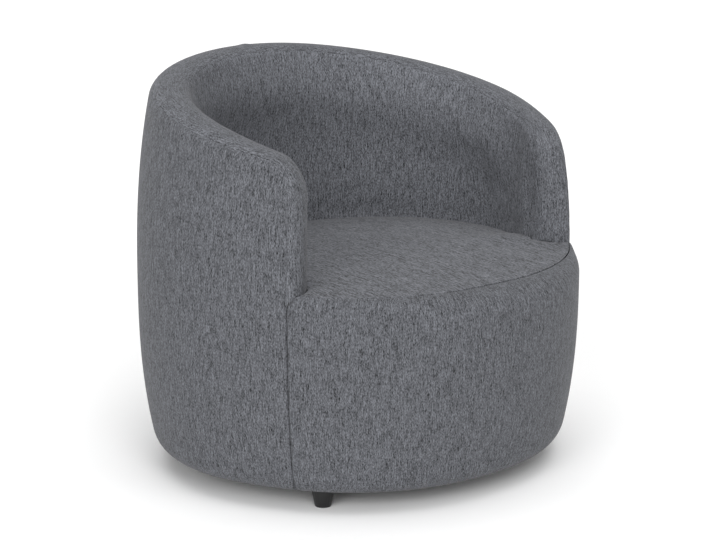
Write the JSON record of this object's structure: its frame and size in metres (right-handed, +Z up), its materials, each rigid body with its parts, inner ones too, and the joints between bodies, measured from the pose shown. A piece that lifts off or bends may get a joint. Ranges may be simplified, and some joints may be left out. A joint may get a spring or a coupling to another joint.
{
  "type": "armchair",
  "caption": "Low barrel armchair with a wrap-around upholstered wall that falls from the back to the arms, a fixed crowned seat with a rolled front and small tapered feet.",
  "frame": {"origin": "on the floor, under the middle of the chair's footprint", "axes": "+Z up, -Y the way the seat faces, +X the sitter's left; the chair is mirror symmetric about X = 0"},
  "size_m": [0.8316, 0.752, 0.7376],
  "materials": {
    "upholstery_cloth": "grey melange chenille weave",
    "foam": "open-cell polyurethane foam",
    "plywood": "raw birch plywood",
    "hardboard": "raw brown hardboard",
    "plated_steel": "zinc plated",
    "felt": "needled grey felt",
    "nonwoven": "black spunbond",
    "black_plastic": "satin black"
  },
  "bodies": {
    "root": {"outer_cover": "upholstery_cloth", "rim_band_cover": "upholstery_cloth", "inner_cover": "upholstery_cloth", "seat_top_cover": "upholstery_cloth", "front_cover": "upholstery_cloth", "outer_pad": "foam", "rim_pad": "foam", "inner_pad": "foam", "front_pad": "foam", "seat_foam": "foam", "base_panel": "plywood", "back_rib": "plywood", "rear_rib_left": "plywood", "rear_rib_right": "plywood", "side_rib_left": "plywood", "side_rib_right": "plywood", "arm_post_left": "plywood", "arm_post_right": "plywood", "top_rail": "plywood", "seat_rail_back": "plywood", "seat_rail_left": "plywood", "seat_rail_right": "plywood", "seat_rail_front": "plywood", "front_post_left": "plywood", "front_post_middle": "plywood", "front_post_right": "plywood", "outer_board": "hardboard", "inner_board": "hardboard", "front_board": "hardboard", "hanger_bolt_front_left": "plated_steel", "hanger_bolt_front_right": "plated_steel", "hanger_bolt_rear_left": "plated_steel", "hanger_bolt_rear_right": "plated_steel", "tee_nut_front_left": "plated_steel", "tee_nut_front_right": "plated_steel", "tee_nut_rear_left": "plated_steel", "tee_nut_rear_right": "plated_steel", "seat_spring_1": "plated_steel", "seat_spring_2": "plated_steel", "seat_spring_3": "plated_steel", "seat_spring_4": "plated_steel", "seat_spring_5": "plated_steel", "spring_clip_back_1": "plated_steel", "spring_clip_back_2": "plated_steel", "spring_clip_back_3": "plated_steel", "spring_clip_back_4": "plated_steel", "spring_clip_back_5": "plated_steel", "spring_clip_front_1": "plated_steel", "spring_clip_front_2": "plated_steel", "spring_clip_front_3": "plated_steel", "spring_clip_front_4": "plated_steel", "spring_clip_front_5": "plated_steel", "tie_wire": "plated_steel", "spring_insulator": "felt", "dust_cover": "nonwoven", "foot_front_left": "black_plastic", "foot_front_right": "black_plastic", "foot_rear_left": "black_plastic", "foot_rear_right": "black_plastic"}
  },
  "joints": []
}
